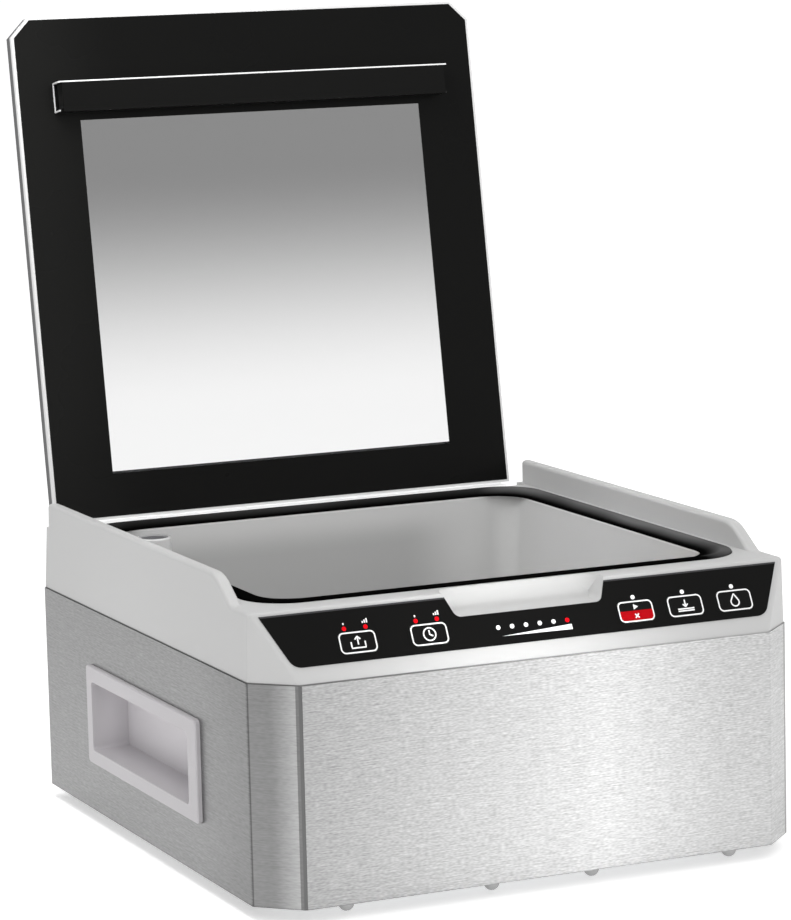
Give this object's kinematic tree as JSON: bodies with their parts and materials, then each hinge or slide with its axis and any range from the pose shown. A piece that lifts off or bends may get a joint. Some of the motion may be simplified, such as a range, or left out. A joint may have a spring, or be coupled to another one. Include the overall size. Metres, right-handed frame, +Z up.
{
  "type": "chamber vacuum sealer",
  "caption": "Bench chamber vacuum sealer with a brushed steel body, pale plastic deck, sloping black control panel and a hinged window lid standing open",
  "frame": {"origin": "on the floor under the middle of the box round the object with its lid open", "axes": "+X to the object's right seen from its front, +Y to the rear where the hinge is, +Z up"},
  "size_m": [0.346, 0.429, 0.4876],
  "materials": {
    "steel_wrap": "horizontal brushed grain",
    "sheet_zinc": "plain satin sheet",
    "deck_plastic": "fine satin grain",
    "tub_plastic": "satin",
    "cup_plastic": "satin",
    "gasket_rubber": "matt",
    "foot_rubber": "matt",
    "overlay_black": "semi-gloss film",
    "key_black": "satin",
    "light_red": "clear red",
    "light_white": "milky white",
    "border_black": "semi-gloss",
    "band_white": "smooth",
    "pane_clear": "clear acrylic",
    "frame_grey": "satin",
    "hinge_steel": "satin",
    "bright_channel": "bright drawn",
    "pad_rubber": "satin",
    "screw_steel": "bright",
    "post_metal": "turned",
    "filter_dark": "open pores",
    "seal_bar_alloy": "drawn",
    "heater_metal": "thin strip",
    "cover_tape": "coated cloth",
    "rod_chrome": "ground",
    "pump_alloy": "die cast",
    "motor_black": "satin",
    "core_iron": "laminated",
    "coil_copper": "enamelled wire",
    "board_green": "board lacquer",
    "fitting_black": "fine grain",
    "fan_white": "satin",
    "pin_brass": "bright",
    "hose_rubber": "silicone"
  },
  "bodies": {
    "housing": {"base_plate": "sheet_zinc", "rubber_feet": "foot_rubber", "base_screws": "screw_steel", "body_wrap": "steel_wrap", "rear_panel": "sheet_zinc", "rear_screws": "screw_steel", "left_handle_cup": "cup_plastic", "right_handle_cup": "cup_plastic", "deck": "deck_plastic", "vacuum_chamber": "tub_plastic", "chamber_gasket": "gasket_rubber", "suction_post": "post_metal", "suction_filter": "filter_dark", "control_overlay": "overlay_black", "control_board": "board_green", "tact_switches": "fitting_black", "indicator_lights_red": "light_red", "indicator_lights_white": "light_white", "power_inlet": "fitting_black", "inlet_pins": "pin_brass", "rocker_frame": "fitting_black", "hinge_deck_leaf": "hinge_steel", "hinge_pin": "hinge_steel", "lid_sensor": "fitting_black", "seal_cylinders": "pump_alloy", "pump_motor_can": "motor_black", "pump_crankcases": "pump_alloy", "pump_heads": "pump_alloy", "pump_bracket": "sheet_zinc", "transformer_core": "core_iron", "transformer_coil": "coil_copper", "power_board": "board_green", "board_standoffs": "fitting_black", "board_components": "fitting_black", "vent_valve": "fitting_black", "seal_valve": "fitting_black", "suction_hose": "hose_rubber", "vent_hose": "hose_rubber", "seal_hose": "hose_rubber"},
    "lid": {"lid_border": "border_black", "lid_edge_band": "band_white", "lid_pane": "pane_clear", "lid_back_frame": "frame_grey", "hinge_lid_leaf": "hinge_steel", "press_bar_channel": "bright_channel", "press_bar_pad": "pad_rubber", "press_bar_screws": "screw_steel", "lid_magnet": "screw_steel"},
    "seal_bar": {"seal_bar_base": "seal_bar_alloy", "heater_strip": "heater_metal", "seal_cover_tape": "cover_tape", "lift_rods": "rod_chrome"},
    "power_rocker": {"power_rocker": "fitting_black"},
    "pump_rotor": {"pump_rotor": "core_iron", "pump_fan": "fan_white"},
    "vacuum_level_button": {"vacuum_level_button": "key_black"},
    "seal_time_button": {"seal_time_button": "key_black"},
    "start_cancel_button": {"start_cancel_button": "key_black"},
    "seal_now_button": {"seal_now_button": "key_black"},
    "marinate_button": {"marinate_button": "key_black"}
  },
  "joints": [
    {"name": "lid_hinge", "type": "hinge", "parent": "housing", "child": "lid", "pos_m": [0, 0.14367, 0.1687], "axis": [1, 0, 0], "range_deg": [0, 99.56]},
    {"name": "seal_bar_lift", "type": "slide", "parent": "housing", "child": "seal_bar", "axis": [0, 0, 1], "range_m": [0, 0.008]},
    {"name": "power_rocker_tilt", "type": "hinge", "parent": "housing", "child": "power_rocker", "pos_m": [0.06, 0.14237, 0.04], "axis": [1, 0, 0], "range_deg": [0, 16]},
    {"name": "pump_rotor_spin", "type": "hinge", "parent": "housing", "child": "pump_rotor", "pos_m": [0, -0.00963, 0.043], "axis": [1, 0, 0], "continuous": true},
    {"name": "vacuum_level_button_press", "type": "slide", "parent": "housing", "child": "vacuum_level_button", "axis": [0, 0.8832, -0.4689], "range_m": [0, 0.0006], "stiffness_N_per_m": 800},
    {"name": "seal_time_button_press", "type": "slide", "parent": "housing", "child": "seal_time_button", "axis": [0, 0.8832, -0.4689], "range_m": [0, 0.0006], "stiffness_N_per_m": 800},
    {"name": "start_cancel_button_press", "type": "slide", "parent": "housing", "child": "start_cancel_button", "axis": [0, 0.8832, -0.4689], "range_m": [0, 0.0006], "stiffness_N_per_m": 800},
    {"name": "seal_now_button_press", "type": "slide", "parent": "housing", "child": "seal_now_button", "axis": [0, 0.8832, -0.4689], "range_m": [0, 0.0006], "stiffness_N_per_m": 800},
    {"name": "marinate_button_press", "type": "slide", "parent": "housing", "child": "marinate_button", "axis": [0, 0.8832, -0.4689], "range_m": [0, 0.0006], "stiffness_N_per_m": 800}
  ]
}
